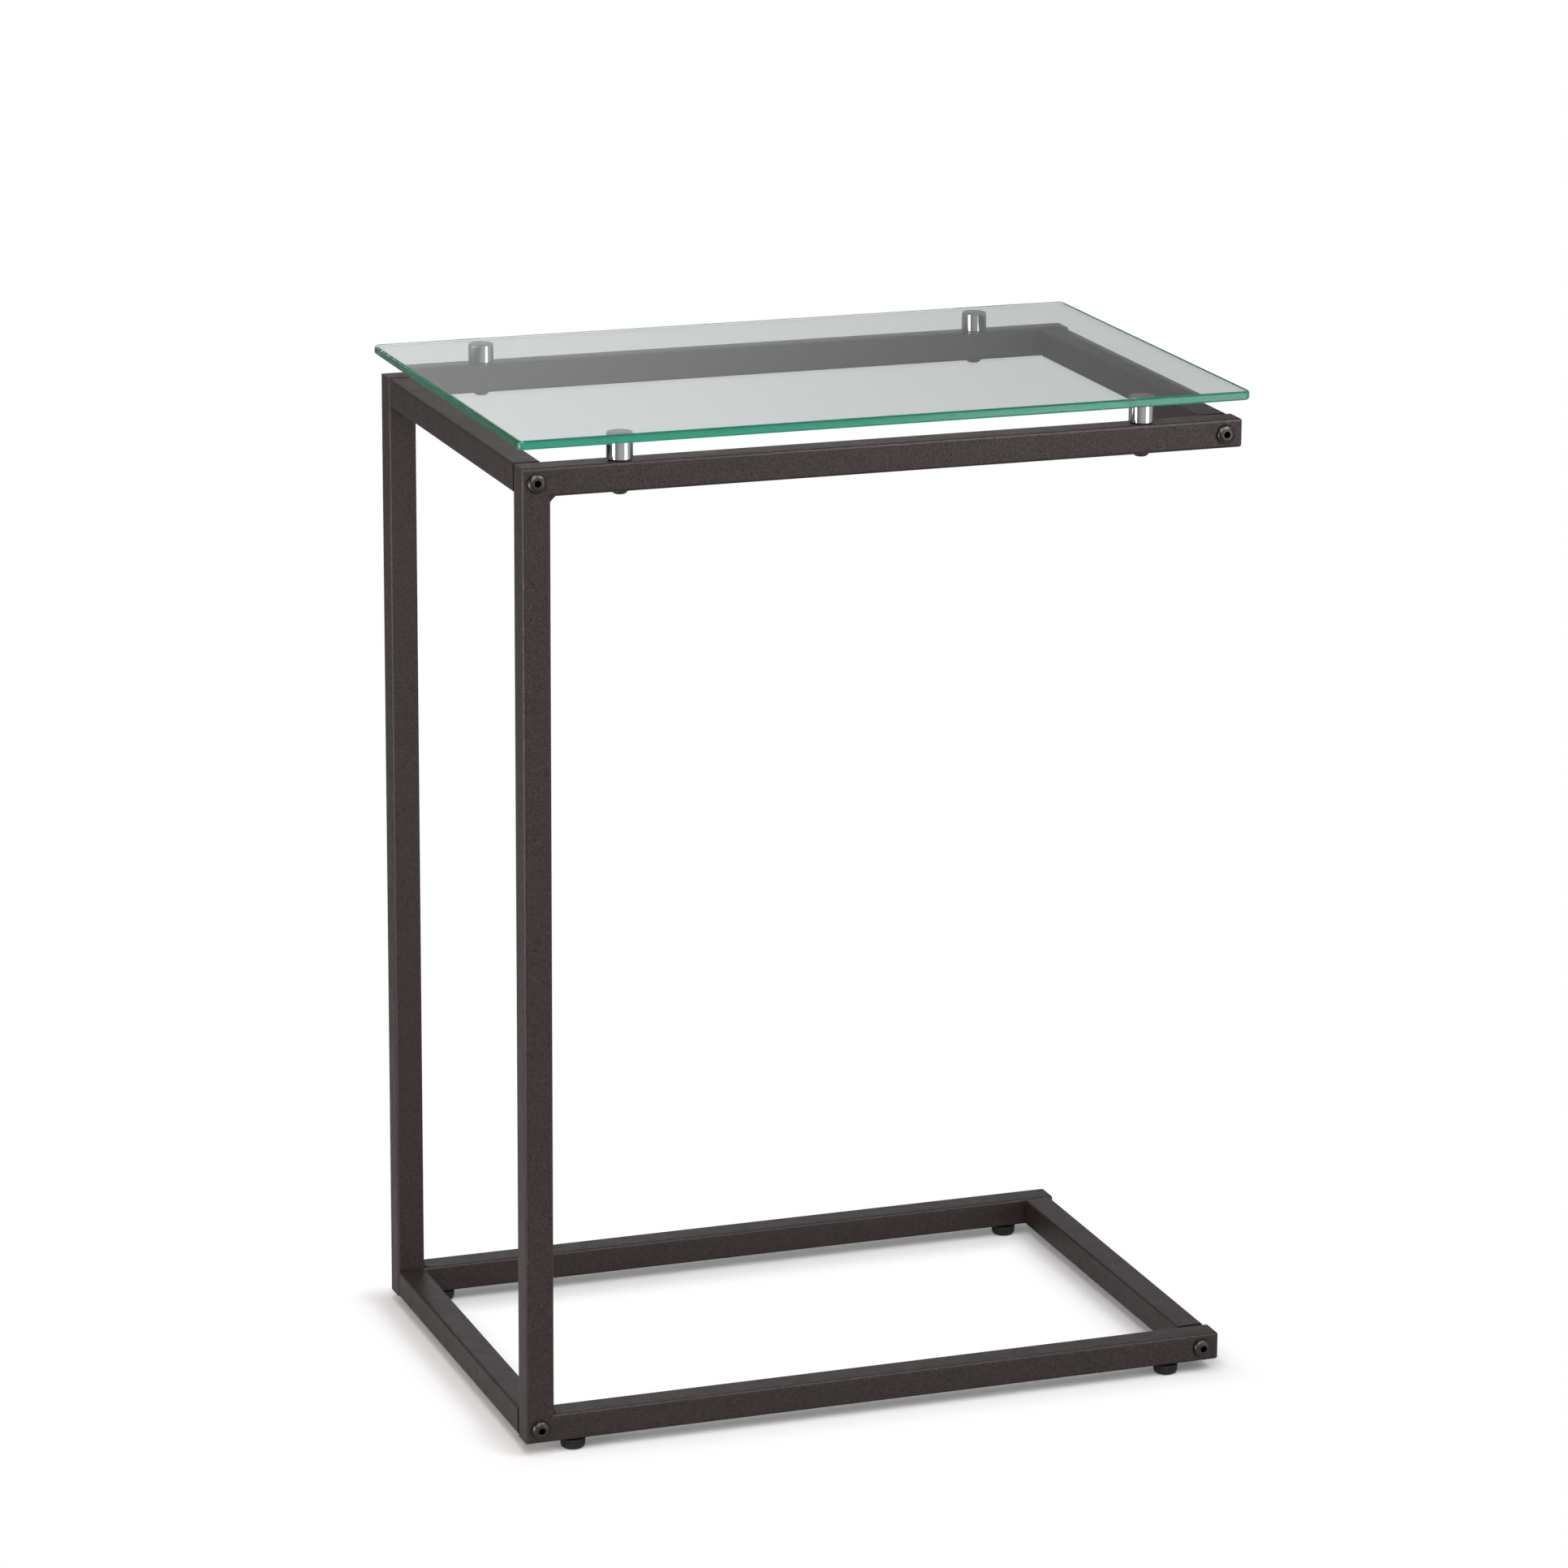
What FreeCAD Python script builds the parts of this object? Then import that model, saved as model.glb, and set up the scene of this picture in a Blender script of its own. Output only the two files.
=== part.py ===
# C-shaped side table: a glass top on chromed standoffs, two welded side frames of square
# steel tube joined by four bolted cross rails, and four levelling feet.
#
# Millimetres. X runs along the arms, with the posts at the left, -X. Y runs across the
# table, with the front at -Y. Z is up. The origin is on the floor below the glass's centre.
import FreeCAD
import Part
import math
import os
from FreeCAD import Placement, Rotation, Vector

# Glass top
glass_length = 500.0
glass_depth = 325.0
glass_thickness = 6.0
glass_corner_radius = 4.5
glass_arris = 1.1

# Frame, with the glass standing out past it at the ends of the arms and at the sides
glass_end_overhang = 4.0
glass_side_overhang = 4.5
frame_height = 652.5

# Square steel tube
tube_size = 19.0
tube_wall = 1.2
tube_corner_radius = 2.0

# Plates that close the arms, and the welds in the inner corners
end_plate_thickness = 2.5
end_plate_edge_radius = 1.5
top_weld_leg = 4.2
base_weld_leg = 5.0

# Clearances: a screw in a drilled hole, a thread in its nut, a moulded pad on its stud
drilled_clearance = 0.25
thread_clearance = 0.05
moulded_clearance = 0.05

# Screws that hold the cross rails
frame_screw_diameter = 6.0
frame_screw_protrusion = 1.0
frame_screw_head_diameter = 12.5
frame_screw_head_height = 3.4
frame_screw_head_flat = 7.4
frame_screw_head_rim = 0.9
frame_screw_socket_width = 4.0
frame_screw_socket_depth = 2.4
frame_screw_point = 0.8

# Threaded nuts in the rails' ends: a plate that fills the tube and stands a little out of it, so
# that the rail's end stays clear of the side frame, with a collar behind it
rail_end_recess = 1.6
rail_nut_plate_thickness = 3.0
rail_nut_corner_relief = 0.5
rail_nut_collar_diameter = 10.0
rail_nut_collar_length = 7.0

# Standoffs between the top arms and the glass
standoff_end_distance = 67.5
standoff_diameter = 17.0
standoff_height = 12.8
standoff_foot_chamfer = 1.2
standoff_rim_chamfer = 0.3
standoff_thread_depth = 8.0
bond_diameter = 16.0
bond_thickness = 0.2

# Screws that hold the standoffs, up through the arms
standoff_screw_diameter = 6.0
standoff_screw_engagement = 6.0
standoff_screw_head_diameter = 10.5
standoff_screw_head_height = 3.0
standoff_screw_head_flat = 6.5
standoff_screw_head_rim = 0.6
standoff_screw_socket_width = 4.0
standoff_screw_socket_depth = 2.0
standoff_screw_point = 0.8

# Levelling feet: a pad that the fingers turn, moulded round the collar of its stud
foot_end_distance = 34.5
foot_gap = 1.5
pad_height = 7.0
pad_top_diameter = 17.0
pad_side_diameter = 16.2
pad_edge_radius = 2.8
pad_rim_chamfer = 0.4
pad_flute_depth = 0.35
pad_flutes = 36
stud_diameter = 6.0
stud_end_clearance = 1.7
stud_point = 0.8
stud_collar_diameter = 9.0
stud_collar_thickness = 1.6
stud_collar_cover = 2.0

# Rivet inserts that the studs screw into
insert_flange_diameter = 11.0
insert_flange_thickness = 0.8
insert_body_diameter = 9.0
insert_bulge_diameter = 11.6
insert_bulge_height = 2.2
insert_body_length = 9.6
insert_hole_clearance = 0.05

# Length by which every cutting tool runs past the face that it cuts
cut_overrun = 5.0

# Levels and places that follow from the sizes above
frame_length = glass_length - 2 * glass_end_overhang
frame_depth = glass_depth - 2 * glass_side_overhang
frame_bottom = pad_height + foot_gap
frame_top = frame_bottom + frame_height
base_axis_height = frame_bottom + tube_size / 2
top_axis_height = frame_top - tube_size / 2
glass_bottom = frame_top + standoff_height + bond_thickness
frame_left = -frame_length / 2
tube_end = frame_length / 2 - end_plate_thickness
tube_bore = tube_size - 2 * tube_wall
tube_bore_radius = max(tube_corner_radius - tube_wall, tube_wall / 2)
arm_axis_depth = frame_depth / 2 - tube_size / 2
rail_span = frame_depth - 2 * tube_size
rail_length = rail_span - 2 * rail_end_recess
rail_nut_length = rail_nut_plate_thickness + rail_nut_collar_length
frame_screw_length = tube_size + rail_nut_length + frame_screw_protrusion
standoff_screw_length = tube_size + standoff_screw_engagement
rail_places = {"left": frame_left + tube_size / 2, "right": tube_end - tube_size / 2}
level_heights = {"top": top_axis_height, "base": base_axis_height}
side_depths = {"front": -arm_axis_depth, "rear": arm_axis_depth}
side_signs = {"front": -1, "rear": 1}
end_signs = {"left": -1, "right": 1}

along_x = Vector(1, 0, 0)
along_y = Vector(0, 1, 0)
along_z = Vector(0, 0, 1)
nodes = {}


def rounded_square(width, radius):
    """Face in the YZ plane: a square about the X axis with round corners."""
    half = width / 2
    inner = half - radius
    slant = radius * math.sqrt(2) / 2
    edges = []
    for quarter in range(4):
        turn = Rotation(along_x, 90 * quarter)
        start = turn.multVec(Vector(0, half, -inner))
        end = turn.multVec(Vector(0, half, inner))
        middle = turn.multVec(Vector(0, inner + slant, inner + slant))
        corner = turn.multVec(Vector(0, inner, half))
        edges.append(Part.LineSegment(start, end).toShape())
        edges.append(Part.Arc(end, middle, corner).toShape())
    return Part.Face(Part.Wire(edges))


def square_tube(length):
    """Tube along +X from the origin, with its axis on the X axis."""
    outside = rounded_square(tube_size, tube_corner_radius).extrude(along_x * length)
    bore = rounded_square(tube_bore, tube_bore_radius).extrude(along_x * length)
    return outside.cut(bore)


def mitre_wedge():
    """Prism that cuts a tube's start at 45 degrees and leaves its +Z side the longer one."""
    half = tube_size / 2
    points = [
        Vector(0, 0, half),
        Vector(tube_size + cut_overrun, 0, -half - cut_overrun),
        Vector(-cut_overrun, 0, -half - cut_overrun),
        Vector(-cut_overrun, 0, half),
    ]
    outline = Part.Face(Part.makePolygon(points + points[:1]))
    outline.translate(along_y * (-half - cut_overrun))
    return outline.extrude(along_y * (tube_size + 2 * cut_overrun))


def revolved(profile):
    """Solid of a closed profile of (radius, height) points turned about the Z axis."""
    points = [Vector(radius, 0, height) for radius, height in profile]
    face = Part.Face(Part.makePolygon(points + points[:1]))
    return face.revolve(Vector(0, 0, 0), along_z, 360)


def drill(diameter, start, direction, length):
    """Cylinder that cuts a hole and runs past both of its ends."""
    first = start - direction * cut_overrun
    return Part.makeCylinder(diameter / 2, length + 2 * cut_overrun, first, direction)


def placed(shape, position, rotation=Rotation()):
    """Copy of a shape, turned about the origin and then moved to a position."""
    copy = shape.copy()
    copy.Placement = Placement(position, rotation)
    return copy


def button_screw(diameter, length, head_diameter, head_height, head_flat, head_rim,
                 socket_width, socket_depth, point):
    """Screw along Z: its head's seat is at the origin, its head above, its shank below."""
    shank = diameter / 2
    head = head_diameter / 2
    flat = head_flat / 2
    crown = Vector(flat + (head - flat) * math.sqrt(2) / 2, 0,
                   head_rim + (head_height - head_rim) * math.sqrt(2) / 2)
    tip = Vector(0, 0, -length)
    point_end = Vector(shank - point, 0, -length)
    point_start = Vector(shank, 0, -length + point)
    seat_inner = Vector(shank, 0, 0)
    seat_outer = Vector(head, 0, 0)
    rim = Vector(head, 0, head_rim)
    flat_edge = Vector(flat, 0, head_height)
    top = Vector(0, 0, head_height)
    edges = [Part.LineSegment(tip, point_end), Part.LineSegment(point_end, point_start),
             Part.LineSegment(point_start, seat_inner), Part.LineSegment(seat_inner, seat_outer),
             Part.LineSegment(seat_outer, rim), Part.Arc(rim, crown, flat_edge),
             Part.LineSegment(flat_edge, top), Part.LineSegment(top, tip)]
    profile = Part.Face(Part.Wire([edge.toShape() for edge in edges]))
    body = profile.revolve(Vector(0, 0, 0), along_z, 360)
    across_corners = socket_width / math.sqrt(3)
    corners = [Rotation(along_z, 60 * side).multVec(along_x * across_corners)
               for side in range(6)]
    hexagon = Part.Face(Part.makePolygon(corners + corners[:1]))
    hexagon.translate(along_z * (head_height - socket_depth))
    return body.cut(hexagon.extrude(along_z * (socket_depth + cut_overrun)))


def frame_screw():
    """M6 button-head screw of the cross rails."""
    return button_screw(frame_screw_diameter, frame_screw_length, frame_screw_head_diameter,
                        frame_screw_head_height, frame_screw_head_flat, frame_screw_head_rim,
                        frame_screw_socket_width, frame_screw_socket_depth, frame_screw_point)


def standoff_screw():
    """M6 low button-head screw that comes up through an arm into a standoff."""
    return button_screw(standoff_screw_diameter, standoff_screw_length,
                        standoff_screw_head_diameter, standoff_screw_head_height,
                        standoff_screw_head_flat, standoff_screw_head_rim,
                        standoff_screw_socket_width, standoff_screw_socket_depth,
                        standoff_screw_point)


def glass_top():
    """Pane with round corners and a ground arris along every edge of its faces."""
    pane = Part.makeBox(glass_length, glass_depth, glass_thickness,
                        Vector(-glass_length / 2, -glass_depth / 2, glass_bottom))
    uprights = [edge for edge in pane.Edges if abs(edge.tangentAt(edge.FirstParameter).z) == 1]
    pane = pane.makeFillet(glass_corner_radius, uprights)
    middle = glass_bottom + glass_thickness / 2
    rims = [edge for edge in pane.Edges
            if abs(edge.CenterOfMass.z - middle) > glass_thickness / 4]
    return pane.makeChamfer(glass_arris, rims)


def side_screw_holes(side):
    """Holes that the frame screws pass through in one side frame, along Y."""
    diameter = frame_screw_diameter + 2 * drilled_clearance
    start = side_depths[side] - tube_size / 2
    return [drill(diameter, Vector(rail_places[end], start, level_heights[level]),
                  along_y, tube_size)
            for level in level_heights for end in rail_places]


def standoff_position(side, end, height):
    """Point on a standoff's axis."""
    place = end_signs[end] * (frame_length / 2 - standoff_end_distance)
    return Vector(place, side_depths[side], height)


def foot_position(side, end, height):
    """Point on a levelling foot's axis."""
    place = end_signs[end] * (frame_length / 2 - foot_end_distance)
    return Vector(place, side_depths[side], height)


def side_frame(side):
    """Arms and post of one side frame, mitred, bored for their screws and inserts."""
    arm_length = tube_end - frame_left
    arm = square_tube(arm_length).cut(mitre_wedge())
    half_post = square_tube(frame_height).cut(mitre_wedge())
    flip = Rotation(along_z, 180)
    post = half_post.cut(placed(mitre_wedge(), along_x * frame_height, flip))

    depth = side_depths[side]
    top_arm = placed(arm, Vector(frame_left, depth, top_axis_height))
    base_arm = placed(arm, Vector(frame_left, depth, base_axis_height), Rotation(along_x, 180))
    post_axis = frame_left + tube_size / 2
    post = placed(post, Vector(post_axis, depth, frame_bottom), Rotation(along_y, -90))

    screw_holes = side_screw_holes(side)
    standoff_bore = standoff_screw_diameter + 2 * drilled_clearance
    insert_bore = insert_body_diameter + 2 * insert_hole_clearance
    for end in end_signs:
        top_start = standoff_position(side, end, frame_top - tube_size)
        top_arm = top_arm.cut(drill(standoff_bore, top_start, along_z, tube_size))
        wall_hole = Part.makeCylinder(insert_bore / 2, tube_wall + cut_overrun,
                                      foot_position(side, end, frame_bottom - cut_overrun))
        base_arm = base_arm.cut(wall_hole)
    nodes[side + "_top_arm"] = top_arm.cut(screw_holes)
    nodes[side + "_base_arm"] = base_arm.cut(screw_holes)
    nodes[side + "_post"] = post.cut(screw_holes)


def end_plate():
    """Closing plate along +X from the origin, with its outer edge rounded."""
    plate = rounded_square(tube_size, tube_corner_radius).extrude(along_x * end_plate_thickness)
    outer = [edge for edge in plate.Edges
             if abs(edge.CenterOfMass.x - end_plate_thickness) < end_plate_thickness / 4]
    radius = min(end_plate_edge_radius, tube_corner_radius - tube_wall / 4)
    return plate.makeFillet(radius, outer)


def corner_weld(leg, hollow):
    """Weld in the angle between +X and +Z, as wide as the tube's flat face along Y."""
    width = tube_size - 2 * tube_corner_radius
    corner = Vector(0, -width / 2, 0)
    low = corner + along_x * leg
    high = corner + along_z * leg
    face_edge = Part.LineSegment(low, high)
    if hollow:
        dip = leg * (1 - math.sqrt(2) / 2)
        face_edge = Part.Arc(low, corner + Vector(dip, 0, dip), high)
    edges = [Part.LineSegment(corner, low), face_edge, Part.LineSegment(high, corner)]
    profile = Part.Face(Part.Wire([edge.toShape() for edge in edges]))
    return profile.extrude(along_y * width)


def side_frame_trim(side):
    """Welds and end plates of one side frame."""
    depth = side_depths[side]
    inner_corner = frame_left + tube_size
    nodes[side + "_top_weld"] = placed(corner_weld(top_weld_leg, False),
                                       Vector(inner_corner, depth, frame_top - tube_size),
                                       Rotation(along_y, 90))
    nodes[side + "_base_weld"] = placed(corner_weld(base_weld_leg, True),
                                        Vector(inner_corner, depth, frame_bottom + tube_size))
    for level in level_heights:
        nodes[side + "_" + level + "_end_plate"] = placed(
            end_plate(), Vector(tube_end, depth, level_heights[level]))


def rail_nut():
    """Nut of a rail's end: its outer face is at the origin and it reaches along -Z."""
    plate = rounded_square(tube_bore, tube_bore_radius + rail_nut_corner_relief)
    plate = plate.extrude(along_x * rail_nut_plate_thickness)
    plate = placed(plate, Vector(0, 0, 0), Rotation(along_y, 90))
    collar = Part.makeCylinder(rail_nut_collar_diameter / 2, rail_nut_length,
                               along_z * -rail_nut_length)
    bore = frame_screw_diameter + 2 * thread_clearance
    body = plate.fuse(collar).removeSplitter()
    return body.cut(drill(bore, Vector(0, 0, 0), -along_z, rail_nut_length))


def cross_rail(level, end):
    """One cross rail with its two nuts and its two screws."""
    name = level + "_" + end + "_rail"
    place = rail_places[end]
    height = level_heights[level]
    start = Vector(place, -rail_length / 2, height)
    nodes[name] = placed(square_tube(rail_length), start, Rotation(along_z, 90))
    nuts = []
    screws = []
    for sign in side_signs.values():
        outward = Rotation(along_x, -90 * sign)
        nuts.append(placed(rail_nut(), Vector(place, sign * rail_span / 2, height), outward))
        screws.append(placed(frame_screw(), Vector(place, sign * frame_depth / 2, height), outward))
    nodes[name + "_nuts"] = Part.Compound(nuts)
    nodes[name + "_screws"] = Part.Compound(screws)


def standoff():
    """Turned standoff on the XY plane, with a chamfered foot and a blind thread from below."""
    radius = standoff_diameter / 2
    thread = standoff_screw_diameter / 2 + thread_clearance
    return revolved([
        (thread, 0),
        (radius - standoff_foot_chamfer, 0),
        (radius, standoff_foot_chamfer),
        (radius, standoff_height - standoff_rim_chamfer),
        (radius - standoff_rim_chamfer, standoff_height),
        (0, standoff_height),
        (0, standoff_thread_depth),
        (thread, standoff_thread_depth),
    ])


def standoffs():
    """The four standoffs, the adhesive on top of them and the screws from below."""
    bonds = []
    screws = []
    for side in side_depths:
        for end in end_signs:
            seat = standoff_position(side, end, frame_top)
            nodes[side + "_" + end + "_standoff"] = placed(standoff(), seat)
            bonds.append(Part.makeCylinder(bond_diameter / 2, bond_thickness,
                                           seat + along_z * standoff_height))
            screws.append(placed(standoff_screw(), seat - along_z * tube_size,
                                 Rotation(along_x, 180)))
    nodes["standoff_bonds"] = Part.Compound(bonds)
    nodes["standoff_screws"] = Part.Compound(screws)


def foot_insert():
    """Rivet insert: the underside of the arm is at the origin and the tube is above."""
    bore = stud_diameter / 2 + thread_clearance
    body = insert_body_diameter / 2
    bulge_top = tube_wall + insert_bulge_height
    return revolved([
        (bore, -insert_flange_thickness),
        (insert_flange_diameter / 2, -insert_flange_thickness),
        (insert_flange_diameter / 2, 0),
        (body, 0),
        (body, tube_wall),
        (insert_bulge_diameter / 2, tube_wall),
        (body, bulge_top),
        (body, tube_wall + insert_body_length),
        (bore, tube_wall + insert_body_length),
    ])


def stud_profile(clearance):
    """Half section of the stud from the floor up, grown all round by a clearance."""
    shank = stud_diameter / 2 + clearance
    collar = stud_collar_diameter / 2 + clearance
    collar_bottom = stud_collar_cover - clearance
    collar_top = stud_collar_cover + stud_collar_thickness + clearance
    return [(0, collar_bottom), (collar, collar_bottom), (collar, collar_top),
            (shank, collar_top)]


def foot_stud():
    """Stud of a foot, from the collar in its pad to just below the arm's far wall."""
    shank = stud_diameter / 2
    top = frame_bottom + tube_size - tube_wall - stud_end_clearance
    return revolved(stud_profile(0) + [(shank, top - stud_point), (shank - stud_point, top),
                                       (0, top)])


def fluted_outline(radius, height):
    """Wire of straight flutes at a height: ridges at a radius, with grooves between them."""
    points = []
    for step in range(2 * pad_flutes):
        size = radius if step % 2 == 0 else radius - pad_flute_depth
        turn = Rotation(along_z, step * 180 / pad_flutes)
        points.append(turn.multVec(along_x * size) + along_z * height)
    return Part.makePolygon(points + points[:1])


def foot_pad():
    """Pad with a flat sole, a round lower edge, a fluted side and the stud's pocket."""
    side = pad_side_diameter / 2
    rim = pad_top_diameter / 2
    sole = side - pad_edge_radius
    slant = pad_edge_radius * math.sqrt(2) / 2
    axis_bottom = Vector(0, 0, 0)
    axis_top = Vector(0, 0, pad_edge_radius)
    sole_edge = Vector(sole, 0, 0)
    curve = Vector(sole + slant, 0, pad_edge_radius - slant)
    curve_top = Vector(side, 0, pad_edge_radius)
    edges = [Part.LineSegment(axis_bottom, sole_edge), Part.Arc(sole_edge, curve, curve_top),
             Part.LineSegment(curve_top, axis_top), Part.LineSegment(axis_top, axis_bottom)]
    profile = Part.Face(Part.Wire([edge.toShape() for edge in edges]))
    dish = profile.revolve(Vector(0, 0, 0), along_z, 360)
    outlines = [fluted_outline(side, pad_edge_radius),
                fluted_outline(rim, pad_height - pad_rim_chamfer),
                fluted_outline(rim - pad_rim_chamfer, pad_height)]
    grip = Part.makeLoft(outlines, True, True)
    shank = stud_diameter / 2 + moulded_clearance
    above = pad_height + cut_overrun
    pocket = revolved(stud_profile(moulded_clearance) + [(shank, above), (0, above)])
    return dish.fuse(grip).removeSplitter().cut(pocket)


def feet():
    """The four levelling feet and their inserts."""
    for side in side_depths:
        for end in end_signs:
            name = side + "_" + end + "_foot_"
            ground = foot_position(side, end, 0)
            nodes[name + "insert"] = placed(foot_insert(), ground + along_z * frame_bottom)
            nodes[name + "stud"] = placed(foot_stud(), ground)
            nodes[name + "pad"] = placed(foot_pad(), ground)


nodes["glass_top"] = glass_top()
for side_name in side_depths:
    side_frame(side_name)
    side_frame_trim(side_name)
for level_name in level_heights:
    for end_name in rail_places:
        cross_rail(level_name, end_name)
standoffs()
feet()

os.makedirs("parts", exist_ok=True)
for node_name, shape in nodes.items():
    shape.exportStep("parts/" + node_name + ".step")
    solids = len(shape.Solids)
    print(node_name, solids, "solid" if solids == 1 else "solids", round(shape.Volume, 1), "mm3",
          "valid" if shape.isValid() else "NOT VALID")
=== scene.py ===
import math
import bpy
import numpy as np
from mathutils import Matrix, Vector


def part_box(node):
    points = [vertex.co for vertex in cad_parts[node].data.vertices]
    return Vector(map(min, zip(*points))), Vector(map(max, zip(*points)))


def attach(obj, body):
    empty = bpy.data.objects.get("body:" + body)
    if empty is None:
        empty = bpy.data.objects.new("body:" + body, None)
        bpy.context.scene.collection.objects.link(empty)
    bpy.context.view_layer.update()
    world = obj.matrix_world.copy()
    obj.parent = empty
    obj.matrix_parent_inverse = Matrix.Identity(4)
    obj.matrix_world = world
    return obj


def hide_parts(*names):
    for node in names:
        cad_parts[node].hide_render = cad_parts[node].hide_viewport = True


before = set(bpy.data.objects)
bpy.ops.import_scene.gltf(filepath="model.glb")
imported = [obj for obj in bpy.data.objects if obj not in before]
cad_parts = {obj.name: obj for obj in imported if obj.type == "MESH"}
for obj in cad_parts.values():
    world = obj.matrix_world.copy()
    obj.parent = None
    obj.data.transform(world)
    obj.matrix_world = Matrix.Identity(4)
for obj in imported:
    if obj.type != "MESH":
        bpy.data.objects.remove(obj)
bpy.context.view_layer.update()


# Side frames
#
# Each side of the table is a C of 19 mm square steel tube: two arms and a post, mitred, welded,
# ground flush and powder coated as one piece, so no seam shows on the outer corners.
tube_corner_radius = 0.0020
tube_wall = 0.0012
tube_bore_radius = 0.0008
softened_edge_rings = 4
crease_angle = math.radians(32)
x_axis, y_axis, z_axis = range(3)
table_body = "table"


def linear(code):
    """Linear red, green, blue and alpha of an sRGB hex colour, by the sRGB transfer curve."""
    share = np.array([int(code[place:place + 2], 16) for place in (1, 3, 5)]) / 255
    value = np.where(share <= 0.04045, share / 12.92, ((share + 0.055) / 1.055) ** 2.4)
    return (*value.tolist(), 1.0)


def add(tree, kind, inputs=None, **settings):
    """Adds one shader node. Settings are its own properties, and each input, by its name or its
    place in the list, gets a value or a link from another node's output."""
    made = tree.nodes.new("ShaderNode" + kind)
    for key, value in settings.items():
        setattr(made, key, value)
    for key, value in (inputs or {}).items():
        if isinstance(value, bpy.types.NodeSocket):
            tree.links.new(value, made.inputs[key])
        else:
            made.inputs[key].default_value = value
    return made


def new_material(name):
    """Empty node material, and its tree."""
    material = bpy.data.materials.new(name)
    material.use_nodes = True
    material.node_tree.nodes.clear()
    return material, material.node_tree


def powder_coat():
    """Fine-textured polyester powder coat, sprayed and baked: a matt brown-black skin with a sandy
    grain. The real grain is about 0.4 mm and is drawn twice as coarse, so that it shows. On the
    marked rings of a rail's cut end the coat is painted near black and dull, as painted shade of
    the slit beside the side frame."""
    real_grain_size = 0.0004
    grain_size = 2 * real_grain_size
    mottle_size = 0.011
    material, tree = new_material("fine_textured_powder_coat")
    place = add(tree, "TexCoord").outputs["Object"]
    grain = add(tree, "TexNoise", {"Vector": place, "Scale": 1 / grain_size, "Detail": 2.0,
                                   "Roughness": 0.6}).outputs[0]
    mottle = add(tree, "TexNoise", {"Vector": place, "Scale": 1 / mottle_size, "Detail": 3.0,
                                    "Roughness": 0.55}).outputs[0]
    grain_share = add(tree, "MapRange", {"Value": grain, "From Min": 0.36, "From Max": 0.66})
    grain_tone = add(tree, "Mix", {"Factor": grain_share.outputs[0], "A": linear("#110c0c"),
                                   "B": linear("#413432")}, data_type="RGBA").outputs["Result"]
    mottle_share = add(tree, "MapRange", {"Value": mottle, "From Min": 0.35, "From Max": 0.65,
                                          "To Max": 0.35})
    tone = add(tree, "Mix", {"Factor": mottle_share.outputs[0], "A": grain_tone,
                             "B": linear("#2a2121")}, data_type="RGBA").outputs["Result"]
    gloss = add(tree, "MapRange", {"Value": mottle, "From Min": 0.3, "From Max": 0.7,
                                   "To Min": 0.3, "To Max": 0.4}).outputs[0]
    # Painted shade: the marked rings at a rail's cut end, in the slit beside the side frame, are
    # drawn near black and dull.
    painted_slit_shade = add(tree, "Attribute", attribute_name="painted_slit_shade_at_rail_end").outputs["Fac"]
    tone = add(tree, "Mix", {"Factor": painted_slit_shade, "A": tone, "B": linear("#050404")},
               data_type="RGBA").outputs["Result"]
    gloss = add(tree, "Mix", {"Factor": painted_slit_shade, "A": gloss, "B": 0.95}).outputs["Result"]
    bump = add(tree, "Bump", {"Height": grain, "Strength": 0.6, "Distance": 0.0005})
    coat = add(tree, "BsdfPrincipled", {"Base Color": tone, "Roughness": gloss, "IOR": 1.5,
                                        "Normal": bump.outputs[0]})
    add(tree, "OutputMaterial", {"Surface": coat.outputs[0]})
    return material


def rounded_square(size, radius, steps=8):
    """Outline of a square about the origin, shape (points, 2): four quarter circles of the corner
    radius, each a quarter turn on from the last, joined by straight sides."""
    turn = np.linspace(0, math.pi / 2, steps + 1)
    corner = size / 2 - radius + radius * np.stack([np.cos(turn), np.sin(turn)], 1)
    quarter = np.array([[0, 1], [-1, 0]])
    return np.concatenate([corner @ np.linalg.matrix_power(quarter, side) for side in range(4)])


def surface(name, shells, material, joined=False):
    """Object made of closed shells. A shell is an array of rings of points, shape (rings, points,
    3): each ring is joined to the next by quads, and the first and last rings are capped, or
    joined to each other. A shell whose signed volume is negative is turned inside out."""
    points = []
    faces = []
    for rings in shells:
        count, around, _ = rings.shape
        index = np.arange(count * around).reshape(count, around)
        low = index if joined else index[:-1]
        high = np.roll(index, -1, 0) if joined else index[1:]
        quads = np.stack([low, np.roll(low, -1, 1), np.roll(high, -1, 1), high], -1).reshape(-1, 4)
        spots = rings.reshape(-1, 3)
        caps = [] if joined else [index[0, ::-1], index[-1]]
        centred = spots - spots.mean(0)
        corners = centred[np.concatenate([quads[:, [0, 1, 2]], quads[:, [0, 2, 3]]])]
        fans = [np.stack([np.full(around - 2, cap[0]), cap[1:-1], cap[2:]], 1) for cap in caps]
        corners = np.concatenate([corners, *[centred[fan] for fan in fans]])
        volume = (np.cross(corners[:, 0], corners[:, 1]) * corners[:, 2]).sum()
        step = 1 if volume > 0 else -1
        start = sum(len(done) for done in points)
        faces += [face[::step] for face in (quads + start).tolist()]
        faces += [(cap + start).tolist()[::step] for cap in caps]
        points.append(spots)
    mesh = bpy.data.meshes.new(name)
    mesh.from_pydata(np.concatenate(points).tolist(), [], faces)
    mesh.materials.append(material)
    mesh.shade_smooth()
    mesh.set_sharp_from_angle(angle=crease_angle)
    made = bpy.data.objects.new(name, mesh)
    made.modifiers.new("normals_by_face_area", "WEIGHTED_NORMAL").keep_sharp = True
    bpy.context.scene.collection.objects.link(made)
    return made


def fit(piece, node, body=table_body):
    """Puts a finished piece in a CAD node's place on the body that carries it."""
    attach(piece, body)
    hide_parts(node)


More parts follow.
